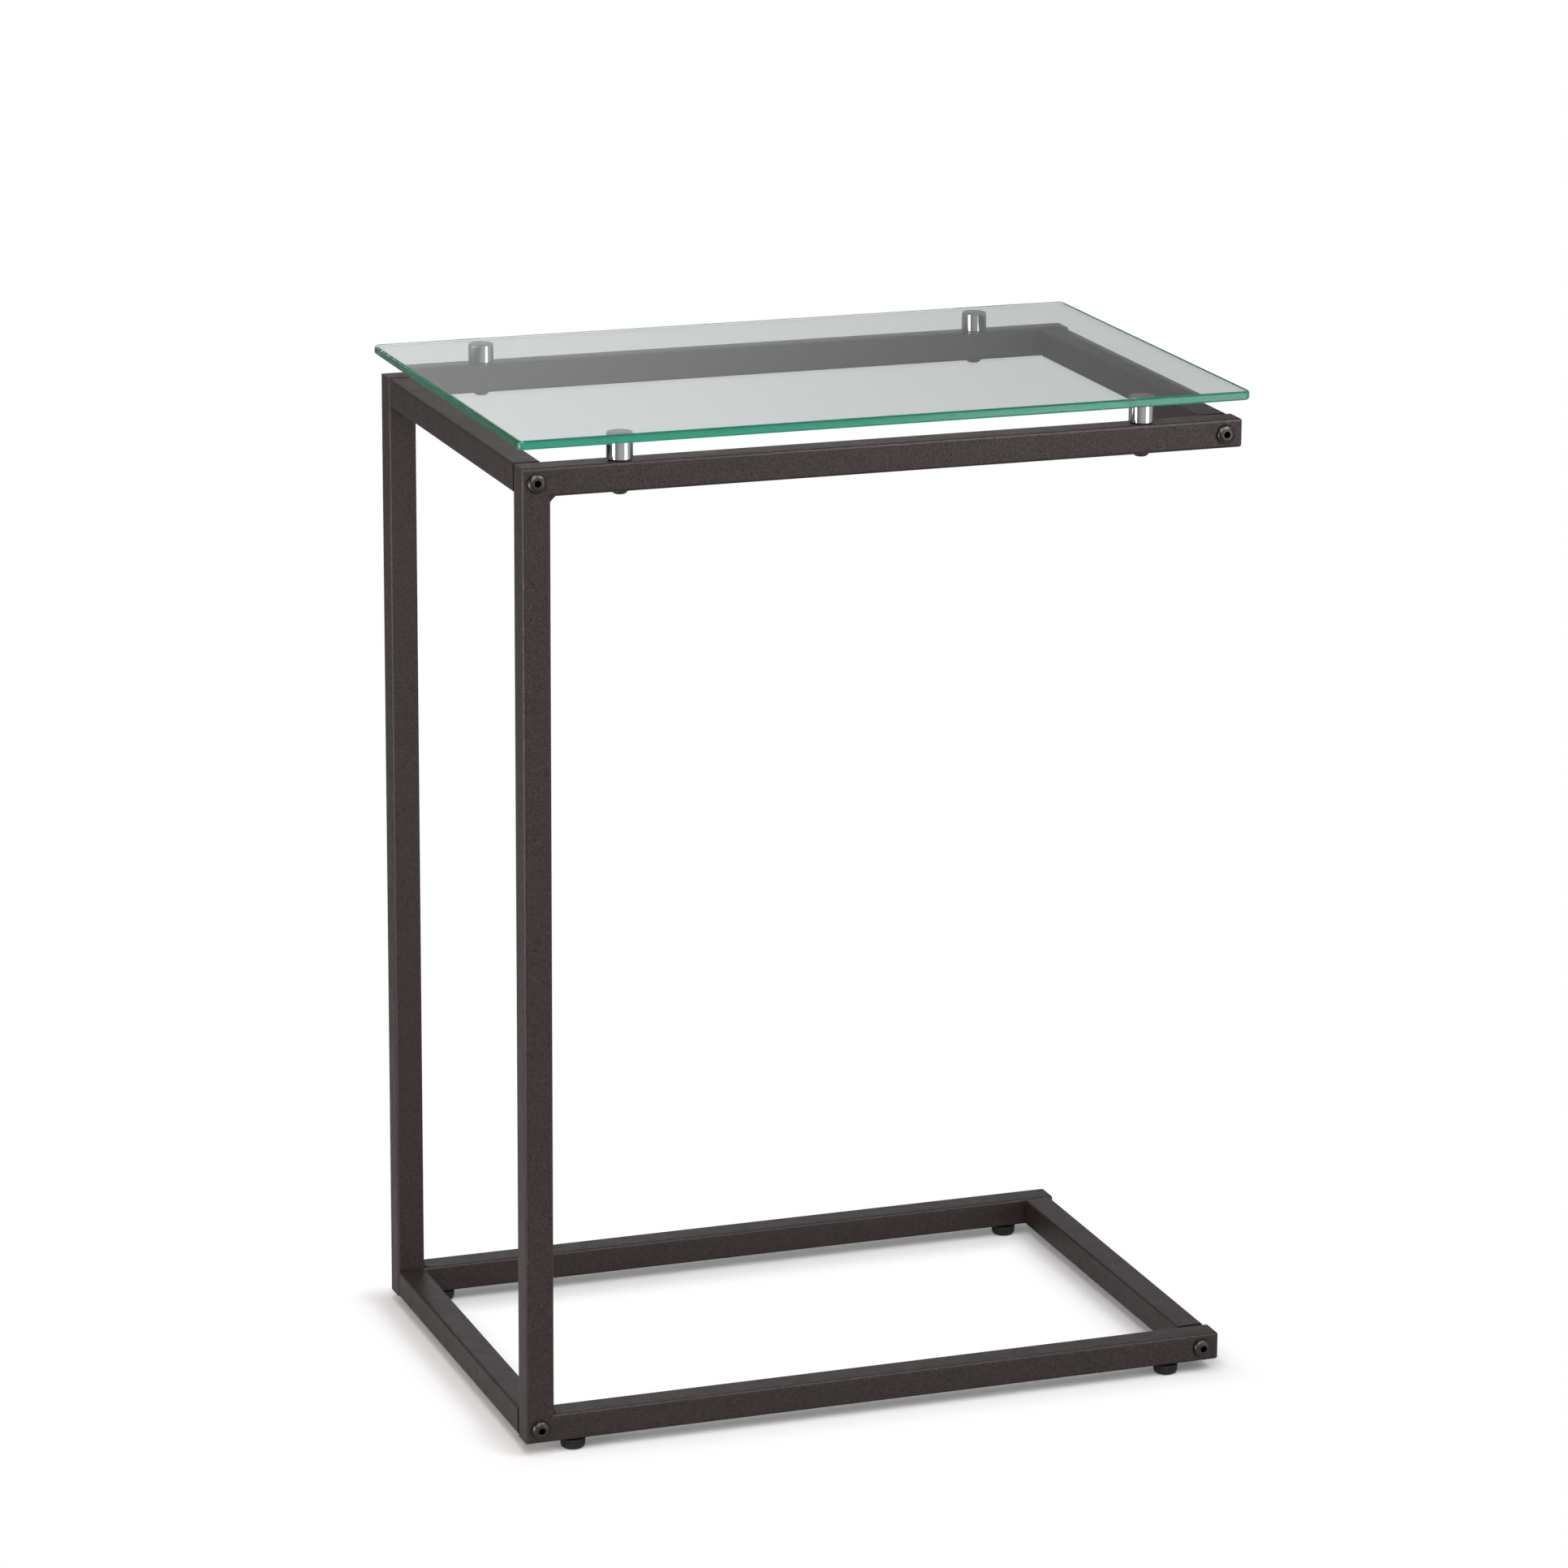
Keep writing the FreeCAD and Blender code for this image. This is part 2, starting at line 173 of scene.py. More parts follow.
def tube_rings(node, along, long_side=None, mitred=(), softening=0.0):
    """Rings of a square tube that fills a node's box and runs along an axis, out over its skin and
    back by its bore. At a mitred end a point lies as far in as it lies from the tube's long side,
    which is 45 degrees. A softened end has a quarter circle of that radius round its outer edge."""
    low, high = (np.array(corner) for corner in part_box(node))
    across = [(along + 1) % 3, (along + 2) % 3]
    middle = (low + high) / 2
    size = high[across[0]] - low[across[0]]

    def ring(outline, station, end):
        spots = np.empty((len(outline), 3))
        spots[:, across] = outline + middle[across]
        spots[:, along] = station
        if end in mitred:
            axis, side = long_side
            inward = 1 if end == "start" else -1
            edge = high[axis] if side == "high" else low[axis]
            spots[:, along] += inward * np.abs(spots[:, axis] - edge)
        return spots

    def skin(end):
        station, inward = (low[along], 1) if end == "start" else (high[along], -1)
        turns = np.linspace(0, math.pi / 2, softened_edge_rings) if softening else [math.pi / 2]
        rings = []
        for turn in turns:
            inset = softening * (1 - math.cos(turn))
            outline = rounded_square(size - 2 * inset, tube_corner_radius - inset)
            rings.append(ring(outline, station + inward * softening * (1 - math.sin(turn)), end))
        return rings

    bore = rounded_square(size - 2 * tube_wall, tube_bore_radius)
    return np.stack([ring(bore, low[along], "start"), *skin("start")[::-1], *skin("end"),
                     ring(bore, high[along], "end")])


coat = powder_coat()
for side in ("front", "rear"):
    for node, along, long_side, mitred in (
            (side + "_top_arm", x_axis, (z_axis, "high"), ["start"]),
            (side + "_base_arm", x_axis, (z_axis, "low"), ["start"]),
            (side + "_post", z_axis, (x_axis, "low"), ["start", "end"])):
        rings = tube_rings(node, along, long_side, mitred)
        fit(surface(node + "_tube", [rings], coat, joined=True), node)


# Welds in the inner corners
#
# A short bead joins arm and post inside each corner. The one under the top arm is dressed flat,
# the one over the base arm is left hollow with faint ripples, and the coat runs over both.
bead_ripple_pitch = 0.0021
bead_ripple_height = 0.00008
bead_end_share = 0.88
bead_end_power = 8
dressed_hollow = 0.03
welded_hollow = 0.29
bead_stations = 61
bead_steps = 12


def bead_rings(node, up, hollow_share):
    """Rings across a weld, one to a station along Y: a chord between its two legs, pushed in at
    the middle by a parabola, with a sine ripple along the bead. The legs shrink a little at both
    ends by the eighth-power superellipse, and each ring is closed by the corner itself."""
    low, high = (np.array(corner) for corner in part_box(node))
    leg = high[0] - low[0]
    root = low[2] if up > 0 else high[2]
    share = np.linspace(-1, 1, bead_stations)[:, None]
    depth = low[1] + (high[1] - low[1]) * (share + 1) / 2
    fade = 1 - share ** bead_end_power
    size = leg * (bead_end_share + (1 - bead_end_share) * fade ** 0.5)
    run = np.linspace(0, 1, bead_steps)[None, :]
    bow = 4 * run * (1 - run)
    ripple = bead_ripple_height * np.sin(2 * math.pi * depth / bead_ripple_pitch) * fade
    push = (ripple - hollow_share * size) * bow / math.sqrt(2)
    rings = np.empty((bead_stations, bead_steps + 1, 3))
    rings[:, :-1, 0] = low[0] + np.clip(size * (1 - run) + push, 0, leg)
    rings[:, :-1, 2] = root + up * np.clip(size * run + push, 0, leg)
    rings[:, -1, 0] = low[0]
    rings[:, -1, 2] = root
    rings[:, :, 1] = depth
    return rings


for side in ("front", "rear"):
    for level, up, hollow_share in (("top", -1, dressed_hollow), ("base", 1, welded_hollow)):
        node = side + "_" + level + "_weld"
        bead = surface(node + "_bead", [bead_rings(node, up, hollow_share)], coat)
        fit(bead, node)


# End plates
#
# A pressed plate closes the open end of each arm. It is welded round its edge, ground and coated
# over, so only its rounded outer rim shows.
plate_rim_radius = 0.00135
plate_rim_steps = 8


def plate_rings(node):
    """Rings of rounded squares stacked along X: the tube's own outline up to the rim, and then a
    quarter circle in which the outline shrinks by the rim's radius."""
    low, high = (np.array(corner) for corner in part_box(node))
    size = high[1] - low[1]
    turn = np.linspace(0, math.pi / 2, plate_rim_steps)
    inset = np.concatenate([[0], plate_rim_radius * (1 - np.cos(turn))])
    station = np.concatenate([[low[0]], high[0] - plate_rim_radius * (1 - np.sin(turn))])
    rings = []
    for shrink, place in zip(inset, station):
        outline = rounded_square(size - 2 * shrink, tube_corner_radius - shrink)
        spots = np.empty((len(outline), 3))
        spots[:, 0] = place
        spots[:, 1:] = outline + (low[1:] + high[1:]) / 2
        rings.append(spots)
    return np.stack(rings)


for side in ("front", "rear"):
    for level in ("top", "base"):
        node = side + "_" + level + "_end_plate"
        fit(surface(node + "_cap", [plate_rings(node)], coat), node)


# Cross rails
#
# Four lengths of the same tube, cut square and coated before assembly, butt against the side
# frames. Their softened ends catch a thin line of light along each joint.
rail_end_softening = 0.0006
# The rings of a rail's cut end that are painted near black and dull: painted shade of the slit
# beside the side frame.
painted_slit_shade_rings = [0, 1, 2, -3, -2, -1]
rail_names = [level + "_" + end + "_rail" for level in ("top", "base") for end in ("left", "right")]


def mark(piece, name, rings, marked):
    """Writes a share to an attribute of a piece's points: one on the marked rings of each of its
    equal shells, and none on the others."""
    shell = np.zeros(rings.shape[:2])
    shell[marked] = 1
    share = np.tile(shell.ravel(), len(piece.data.vertices) // shell.size)
    piece.data.attributes.new(name, "FLOAT", "POINT").data.foreach_set("value", share)


for rail in rail_names:
    rings = tube_rings(rail, y_axis, softening=rail_end_softening)
    tube = surface(rail + "_tube", [rings], coat, joined=True)
    mark(tube, "painted_slit_shade_at_rail_end", rings, painted_slit_shade_rings)
    fit(tube, rail)


# Rail nuts
#
# A threaded steel plate is welded into each end of a rail before coating. It stands a little out
# of the tube, in the slit beside the side frame, where its coat is painted near black as painted
# shade of the slit.
def slit_shade_coat():
    """The coat painted near black, dull and patchy, as painted shade of the slit beside the side
    frame.
    """
    patch_size = 0.002
    material, tree = new_material("coat_painted_as_slit_shade")
    place = add(tree, "TexCoord").outputs["Object"]
    patch = add(tree, "TexNoise", {"Vector": place, "Scale": 1 / patch_size,
                                   "Detail": 3.0}).outputs[0]
    tone = add(tree, "Mix", {"Factor": patch, "A": linear("#070606"), "B": linear("#120f0f")},
               data_type="RGBA").outputs["Result"]
    gloss = add(tree, "MapRange", {"Value": patch, "To Min": 0.8, "To Max": 0.95}).outputs[0]
    thin = add(tree, "BsdfPrincipled", {"Base Color": tone, "Roughness": gloss, "IOR": 1.5})
    add(tree, "OutputMaterial", {"Surface": thin.outputs[0]})
    return material


def refinish(node, material):
    """Gives a CAD node's own mesh a material of the scene in place of its plain one."""
    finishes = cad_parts[node].data.materials
    finishes.clear()
    finishes.append(material)


# The nuts' coat is painted near black as painted shade of the slit.
nut_slit_shade = slit_shade_coat()
for rail in rail_names:
    refinish(rail + "_nuts", nut_slit_shade)


# Foot inserts
#
# Rivet inserts are pulled up in the base arms to take the studs. They are cold-formed steel with
# a thin bright zinc plating, a little cloudy and scuffed.
def zinc_plating():
    """Bright zinc: a bluish grey metal with cloudy patches of about 3 mm."""
    cloud_size = 0.003
    material, tree = new_material("bright_zinc_plating")
    place = add(tree, "TexCoord").outputs["Object"]
    cloud = add(tree, "TexNoise", {"Vector": place, "Scale": 1 / cloud_size,
                                   "Detail": 4.0}).outputs[0]
    tone = add(tree, "Mix", {"Factor": cloud, "A": linear("#a9adb3"), "B": linear("#cdd0d2")},
               data_type="RGBA").outputs["Result"]
    gloss = add(tree, "MapRange", {"Value": cloud, "To Min": 0.24, "To Max": 0.42}).outputs[0]
    metal = add(tree, "BsdfPrincipled", {"Base Color": tone, "Metallic": 1.0, "Roughness": gloss})
    add(tree, "OutputMaterial", {"Surface": metal.outputs[0]})
    return material


corner_names = [side + "_" + end for side in ("front", "rear") for end in ("left", "right")]
zinc = zinc_plating()
for corner in corner_names:
    refinish(corner + "_foot_insert", zinc)


# Frame screws
#
# M6 button-head screws with a hexagon socket, cold headed in steel and blackened. They pull each
# side frame against the rails' nuts, with a corner of the socket pointing up.
frame_screw = {"head": 0.0125, "height": 0.0034, "flat": 0.0074, "rim": 0.0009, "shank": 0.0060,
               "socket": 0.0040, "socket_depth": 0.0024, "point": 0.0008}
frame_screw_length = 0.030
seat_edge = 0.00015
dome_crease = math.radians(24)
dome_rings = 12
socket_lead_depth = 0.00025
socket_lead_width = 0.0001
socket_floor_rise = 0.00002
drill_share = 0.44
drill_tip_share = 0.1
drill_slope = 0.5
painted_socket_shade_rings = [0, 1, 2, 3]
round_points = 96


def black_oxide():
    """Blackened steel with a trace of oil: near black, satin, with faint streaks from heading. The
    socket's rings are painted black and dull, as painted shade of the recess."""
    streak_size = 0.0012
    material, tree = new_material("blackened_steel")
    place = add(tree, "TexCoord").outputs["Object"]
    streak = add(tree, "TexNoise", {"Vector": place, "Scale": 1 / streak_size,
                                    "Detail": 3.0}).outputs[0]
    tone = add(tree, "Mix", {"Factor": streak, "A": linear("#464442"), "B": linear("#5c5a58")},
               data_type="RGBA").outputs["Result"]
    gloss = add(tree, "MapRange", {"Value": streak, "To Min": 0.28, "To Max": 0.4}).outputs[0]
    # Painted shade: the socket's rings are drawn black and dull.
    socket = add(tree, "Attribute", attribute_name="painted_shade_in_socket").outputs["Fac"]
    tone = add(tree, "Mix", {"Factor": socket, "A": tone, "B": linear("#040404")},
               data_type="RGBA").outputs["Result"]
    gloss = add(tree, "Mix", {"Factor": socket, "A": gloss, "B": 0.9}).outputs["Result"]
    bump = add(tree, "Bump", {"Height": streak, "Strength": 0.12, "Distance": 0.0001})
    steel = add(tree, "BsdfPrincipled", {"Base Color": tone, "Metallic": 1.0, "Roughness": gloss,
                                         "Normal": bump.outputs[0]})
    add(tree, "OutputMaterial", {"Surface": steel.outputs[0]})
    return material


def turned(radii, heights, points=round_points):
    """Rings about the Z axis: a circle of each radius at each height. A radius may be a row of
    radii, one to each direction round the axis."""
    turn = np.arange(points) * 2 * math.pi / points
    radii = np.stack([np.broadcast_to(radius, points) for radius in radii])
    heights = np.array(heights)[:, None] + np.zeros(points)
    return np.stack([radii * np.cos(turn), radii * np.sin(turn), heights], 2)


def hexagon(width):
    """Distance from the centre to the side of a hexagon of that width across its flats, in each
    direction: half the width over the cosine of the angle from the nearest flat's middle."""
    turn = np.arange(round_points) * 2 * math.pi / round_points
    return width / 2 / np.cos((turn % (math.pi / 3)) - math.pi / 6)


def screw_rings(screw, length):
    """Button-head screw along Z with its seat at the origin: from the drilled cone under the
    socket up its six sides, out over the flat, down a domed quarter ellipse that meets the flat at
    a crease, and along the shank to its chamfered point. A screw's sizes are the widths of its
    head, flat, shank and socket, the heights of the head and of its upright rim, the depth of the
    socket and the chamfer of the point."""
    socket = hexagon(screw["socket"])
    socket_corner = screw["socket"] / math.sqrt(3)
    floor = screw["height"] - screw["socket_depth"]
    drill = screw["socket"] * drill_share
    turn = np.linspace(dome_crease, math.pi / 2, dome_rings)
    reach = (screw["head"] - screw["flat"]) / 2 / (1 - math.sin(dome_crease))
    rise = (screw["height"] - screw["rim"]) / math.cos(dome_crease)
    dome_radii = screw["head"] / 2 - reach * (1 - np.sin(turn))
    dome_heights = screw["rim"] + rise * np.cos(turn)
    shank = screw["shank"] / 2
    profile = [
        (drill * drill_tip_share, floor - drill * drill_slope),
        (drill, floor),
        (socket, floor + socket_floor_rise),
        (socket, screw["height"] - socket_lead_depth),
        (socket_corner + socket_lead_width, screw["height"]),
        *zip(dome_radii, dome_heights),
        (screw["head"] / 2, seat_edge),
        (screw["head"] / 2 - seat_edge, 0),
        (shank, 0),
        (shank, -length + screw["point"]),
        (shank - screw["point"], -length),
    ]
    radii, heights = zip(*profile)
    return turned(radii, heights)


def stood(rings, origin, axis, upright):
    """Rings moved so that their Z axis points along an axis and their X axis along an upright."""
    axis = np.array(axis, float)
    upright = np.array(upright, float)
    turn = np.stack([upright, np.cross(axis, upright), axis])
    return rings @ turn + np.array(origin)


black_steel = black_oxide()
for rail in rail_names:
    node = rail + "_screws"
    low, high = (np.array(corner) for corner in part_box(node))
    middle = (low + high) / 2
    shells = []
    for face in (-1, 1):
        seat = low[1] + frame_screw["height"] if face < 0 else high[1] - frame_screw["height"]
        shells.append(stood(screw_rings(frame_screw, frame_screw_length),
                            (middle[0], seat, middle[2]), axis=(0, face, 0), upright=(0, 0, 1)))
    screws = surface(node + "_button_heads", shells, black_steel)
    mark(screws, "painted_shade_in_socket", shells[0], painted_socket_shade_rings)
    fit(screws, node)


# Standoffs
#
# Short bars turned from brass, chamfered at the foot, polished and chromed. Each stands on a top
# arm, threaded from below, and carries the glass on its flat top.
standoff_foot_chamfer = 0.0012
standoff_rim_chamfer = 0.0003
standoff_edge = 0.00008
standoff_bore_radius = 0.00305
standoff_bore_depth = 0.008


def polished_chrome():
    """Bright chromium over nickel: a mirror with a cool cast, hazed a little by handling."""
    haze_size = 0.004
    material, tree = new_material("polished_chrome")
    place = add(tree, "TexCoord").outputs["Object"]
    haze = add(tree, "TexNoise", {"Vector": place, "Scale": 1 / haze_size,
                                  "Detail": 3.0}).outputs[0]
    gloss = add(tree, "MapRange", {"Value": haze, "To Min": 0.03, "To Max": 0.1}).outputs[0]
    metal = add(tree, "BsdfPrincipled", {"Base Color": linear("#dadbdd"), "Metallic": 1.0,
                                         "Roughness": gloss})
    add(tree, "OutputMaterial", {"Surface": metal.outputs[0]})
    return material


def axis_of(node):
    """Place of a round piece's upright axis: the middle of its box, at height zero."""
    low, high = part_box(node)
    return np.array([(low.x + high.x) / 2, (low.y + high.y) / 2, 0])


def standoff_rings(node):
    """Circles from the end of the blind bore down to the foot, out over its chamfer, up the side
    and in over the rim, with each edge broken by two short steps."""
    low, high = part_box(node)
    radius = (high.x - low.x) / 2
    tall = high.z - low.z
    soft = standoff_edge
    foot = standoff_foot_chamfer
    rim = standoff_rim_chamfer
    profile = [
        (standoff_bore_radius, standoff_bore_depth),
        (standoff_bore_radius, 0),
        (radius - foot - soft, 0),
        (radius - foot + soft / 2, soft / 2),
        (radius - soft / 2, foot - soft / 2),
        (radius, foot + soft),
        (radius, tall - rim - soft),
        (radius - soft / 2, tall - rim + soft / 2),
        (radius - rim, tall),
    ]
    radii, heights = zip(*profile)
    return turned(radii, heights) + axis_of(node) + [0, 0, low.z]


chrome = polished_chrome()
for corner in corner_names:
    node = corner + "_standoff"
    fit(surface(node + "_bar", [standoff_rings(node)], chrome), node)


# Standoff screws
#
# Low button-head screws of the same blackened steel come up through the top arms into the
# standoffs. Their heads show under the arms.
standoff_screw = {"head": 0.0105, "height": 0.0030, "flat": 0.0065, "rim": 0.0006, "shank": 0.0060,
                  "socket": 0.0040, "socket_depth": 0.0020, "point": 0.0008}
low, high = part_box("standoff_screws")
shells = []
for corner in corner_names:
    seat = axis_of(corner + "_standoff") + [0, 0, low.z + standoff_screw["height"]]
    length = high.z - seat[2]
    shells.append(stood(screw_rings(standoff_screw, length), seat, axis=(0, 0, -1),
                        upright=(1, 0, 0)))
screws = surface("standoff_screws_button_heads", shells, black_steel)
mark(screws, "painted_shade_in_socket", shells[0], painted_socket_shade_rings)
fit(screws, "standoff_screws")


# Adhesive films
#
# A clear ultraviolet-cured adhesive fixes the glass to the four standoffs. The film is a fifth of
# a millimetre thick and stops short of the standoffs' rims.
def cured_adhesive():
    """Clear acrylate resin: water white, with soft cloudy patches from pressing."""
    patch_size = 0.006
    material, tree = new_material("clear_cured_adhesive")
    place = add(tree, "TexCoord").outputs["Object"]
    patch = add(tree, "TexNoise", {"Vector": place, "Scale": 1 / patch_size}).outputs[0]
    gloss = add(tree, "MapRange", {"Value": patch, "To Min": 0.12, "To Max": 0.3}).outputs[0]
    resin = add(tree, "BsdfPrincipled", {"Base Color": linear("#eef1ec"), "Roughness": gloss,
                                         "IOR": 1.49, "Transmission Weight": 1.0})
    add(tree, "OutputMaterial", {"Surface": resin.outputs[0]})
    return material


film_radius = 0.0078
film_gap = 0.00002
low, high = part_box("standoff_bonds")
films = []
for corner in corner_names:
    film = turned([film_radius, film_radius], [low.z + film_gap, high.z - film_gap])
    films.append(film + axis_of(corner + "_standoff"))
fit(surface("standoff_bonds_film", films, cured_adhesive()), "standoff_bonds")


# Glass top
#
# A 6 mm pane of clear float glass with its edges ground, arrised and polished and its corners
# rounded. Iron in the glass shows as deep green wherever light runs along inside the pane.
glass_corner_radius = 0.0045
glass_arris = 0.0011
upright_limit = 0.9
edge_bounces = 120


def float_glass():
    """Soda-lime glass: colourless through its thickness and deep green through half a metre of
    it. The two faces, whose normals stand nearly upright, are fire polished. The edges are a
    little duller, with grinding marks that are drawn coarse enough to show."""
    grind_size = 0.0006
    material, tree = new_material("clear_float_glass")
    place = add(tree, "TexCoord").outputs["Object"]
    grind = add(tree, "TexNoise", {"Vector": place, "Scale": 1 / grind_size}).outputs[0]
    facing = add(tree, "SeparateXYZ", {0: add(tree, "NewGeometry").outputs["Normal"]})
    upright = add(tree, "Math", {0: facing.outputs["Z"]}, operation="ABSOLUTE").outputs[0]
    edge = add(tree, "Math", {0: upright, 1: upright_limit}, operation="LESS_THAN").outputs[0]
    dull = add(tree, "MapRange", {"Value": grind, "To Min": 0.12, "To Max": 0.2}).outputs[0]
    gloss = add(tree, "Math", {0: edge, 1: dull}, operation="MULTIPLY").outputs[0]
    glass = add(tree, "BsdfPrincipled", {"Base Color": linear("#fffcfd"), "Roughness": gloss,
                                         "IOR": 1.52, "Transmission Weight": 1.0})
    iron = add(tree, "VolumeAbsorption", {"Color": linear("#6fe6d7"), "Density": 11.5})
    add(tree, "OutputMaterial", {"Surface": glass.outputs[0], "Volume": iron.outputs[0]})
    return material


def pane_rings(node):
    """Rounded rectangles from the top face down: in by the arris at each face, and at full size
    along the edge between the two arrises. Each is a small rounded square whose four corners are
    drawn apart to those of the pane."""
    low, high = (np.array(corner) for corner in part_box(node))
    small = glass_corner_radius * 4
    corner_signs = np.sign(rounded_square(small, glass_corner_radius))
    drawn_apart = corner_signs * ((high - low)[:2] - small) / 2
    rings = []
    for inset, height in ((glass_arris, high[2]), (0, high[2] - glass_arris),
                          (0, low[2] + glass_arris), (glass_arris, low[2])):
        outline = rounded_square(small - inset * 2, glass_corner_radius - inset)
        ring = np.full((len(outline), 3), height)
        ring[:, :2] = outline + drawn_apart + (low + high)[:2] / 2
        rings.append(ring)
    return np.stack(rings)


# Clear glass passes nearly all the soft light, so the pane casts no shadow of its own. The light
# that glows green at its edges has been mirrored between its two faces up to a hundred times.
pane = surface("glass_top_pane", [pane_rings("glass_top")], float_glass())
pane.visible_shadow = False
bpy.context.scene.cycles.max_bounces = edge_bounces
bpy.context.scene.cycles.glossy_bounces = edge_bounces
bpy.context.scene.cycles.transmission_bounces = edge_bounces
fit(pane, "glass_top")


# Studs of the levelling feet
#
# An M6 stud, roll threaded and zinc plated, with a collar that the pad is moulded round. Its
# thread shows in the gap between pad and arm.
thread_pitch = 0.0010
thread_depth = 0.00055
thread_rows_per_turn = 10
stud_radius = 0.0030
stud_point = 0.0008
stud_points = 48
collar_radius = 0.0045
collar_thickness = 0.0016
collar_edge = 0.0002
collar_step = 0.00001


def stud_rings(node):
    """Circles up the collar, and then a helical thread: the radius falls from the crest by a
    triangle wave of the height less the turn's share of the pitch, and tapers at the point."""
    low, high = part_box(node)
    share = np.arange(stud_points) / stud_points
    collar_top = low.z + collar_thickness
    rows = int((high.z - collar_top) / thread_pitch * thread_rows_per_turn)
    heights = np.linspace(collar_top, high.z, rows)
    phase = (heights[:, None] / thread_pitch - share) % 1
    crest = stud_radius - thread_depth * (1 - np.abs(2 * phase - 1))
    taper = np.minimum(stud_radius, stud_radius - stud_point + (high.z - heights))[:, None]
    collar = [(collar_radius - collar_edge, low.z), (collar_radius, low.z + collar_edge),
              (collar_radius, collar_top - collar_edge),
              (collar_radius - collar_edge, collar_top - collar_step)]
    radii, levels = zip(*collar, *zip(np.minimum(crest, taper), heights))
    return turned(radii, levels, stud_points) + axis_of(node)


for corner in corner_names:
    node = corner + "_foot_stud"
    stud = surface(node + "_thread", [stud_rings(node)], zinc)
    fit(stud, node, corner + "_stud")


# Pads of the levelling feet
#
# Black nylon moulded round the stud's collar: a flat sole, a round lower edge and a side with 36
# fine flutes that the fingers turn.
pad_edge_radius = 0.0028
pad_edge_rings = 9
pad_side_flare = 0.0004
pad_side_rings = 12
pad_rim_radius = 0.0004
pad_rim_rings = 5
flutes = 36
flute_points = 10
flute_depth = 0.00035
flute_roundness = 0.8
flute_fade_start = 0.55 * pad_edge_radius
flute_fade_height = 0.6 * pad_edge_radius
pad_dish_depth = 0.0001
pad_lead_width = 0.0012
pad_lead_depth = 0.0003
pad_bore_radius = 0.00305
collar_side_gap = 0.000014
collar_end_gap = 0.00004


def moulded_nylon():
    """Black glass-filled nylon: a dull, slightly uneven skin with a fine spark-eroded texture,
    which is drawn some three times as coarse as it is, so that it shows."""
    texture_size = 0.0005
    material, tree = new_material("moulded_black_nylon")
    place = add(tree, "TexCoord").outputs["Object"]
    texture = add(tree, "TexNoise", {"Vector": place, "Scale": 1 / texture_size,
                                     "Detail": 2.0}).outputs[0]
    tone = add(tree, "Mix", {"Factor": texture, "A": linear("#100f0f"), "B": linear("#211f1f")},
               data_type="RGBA").outputs["Result"]
    gloss = add(tree, "MapRange", {"Value": texture, "To Min": 0.38, "To Max": 0.52}).outputs[0]
    bump = add(tree, "Bump", {"Height": texture, "Strength": 0.2, "Distance": 0.0001})
    nylon = add(tree, "BsdfPrincipled", {"Base Color": tone, "Roughness": gloss, "IOR": 1.53,
                                         "Normal": bump.outputs[0]})
    add(tree, "OutputMaterial", {"Surface": nylon.outputs[0]})
    return material


def pad_rings(node, stud):
    """Circles from the sole out and up a quarter circle, then up a slightly flared side whose
    radius dips by a cosine once to a flute, in over a rounded rim, and down by a dish, a lead and
    a bore to the pocket of the stud's collar. The flutes fade in by a smooth step above the round
    edge."""
    low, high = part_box(node)
    tall = high.z - low.z
    rim_radius = (high.x - low.x) / 2
    side_radius = rim_radius - pad_side_flare
    turn = np.linspace(0, math.pi / 2, pad_edge_rings)
    edge_radii = side_radius - pad_edge_radius * (1 - np.sin(turn))
    edge_heights = pad_edge_radius * (1 - np.cos(turn))
    side_heights = np.linspace(pad_edge_radius, tall - pad_rim_radius, pad_side_rings)[1:]
    side_radii = np.interp(side_heights, [pad_edge_radius, tall], [side_radius, rim_radius])
    rim_turn = np.linspace(0, math.pi / 2, pad_rim_rings)[1:]
    rim_radii = side_radii[-1] - pad_rim_radius * (1 - np.cos(rim_turn))
    rim_heights = tall - pad_rim_radius * (1 - np.sin(rim_turn))
    outer = np.concatenate([edge_radii, side_radii, rim_radii])
    heights = np.concatenate([edge_heights, side_heights, rim_heights])
    rise = np.clip((heights - flute_fade_start) / flute_fade_height, 0, 1)
    fade = rise * rise * (3 - 2 * rise)
    points = flutes * flute_points
    angle = np.arange(points) * 2 * math.pi / points
    flute = (0.5 - 0.5 * np.cos(angle * flutes)) ** flute_roundness
    walls = outer[:, None] - flute_depth * fade[:, None] * flute
    collar_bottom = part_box(stud)[0].z - low.z
    pocket_floor = collar_bottom - collar_end_gap
    pocket_top = collar_bottom + collar_thickness + collar_end_gap
    pocket_radius = collar_radius + collar_side_gap
    inside = [(pad_bore_radius + pad_lead_width, tall - pad_dish_depth),
              (pad_bore_radius, tall - pad_dish_depth - pad_lead_depth),
              (pad_bore_radius, pocket_top), (pocket_radius, pocket_top),
              (pocket_radius, pocket_floor)]
    radii, levels = zip(*zip(walls, heights), *inside)
    return turned(radii, levels, points) + axis_of(node) + [0, 0, low.z]


nylon = moulded_nylon()
for corner in corner_names:
    node = corner + "_foot_pad"
    moulding = surface(node + "_moulding", [pad_rings(node, corner + "_foot_stud")], nylon)
    fit(moulding, node, corner + "_pad")


# Floor
#
# The table stands on a sheet of matt pale paper. The camera sees it turn to plain white away from
# the base, so that only the soft shadow along the tubes is left.
paper_low = (-3.0, -0.6, 0)
paper_high = (3.0, 4.0, 0)
paper_lift = 0.08
shadow_reach = 0.034
mirrored_white = 0.1


def passed_on(tree, path):
    """Share of the background's white that a ray takes up behind a surface: the whole of it
    through the glass, and a part of it where metal and coat mirror it."""
    mirrored = add(tree, "Math", {0: path.outputs["Is Glossy Ray"], 1: mirrored_white},
                   operation="MULTIPLY").outputs[0]
    return add(tree, "Math", {0: path.outputs["Is Transmission Ray"], 1: mirrored},
               operation="MAXIMUM").outputs[0]


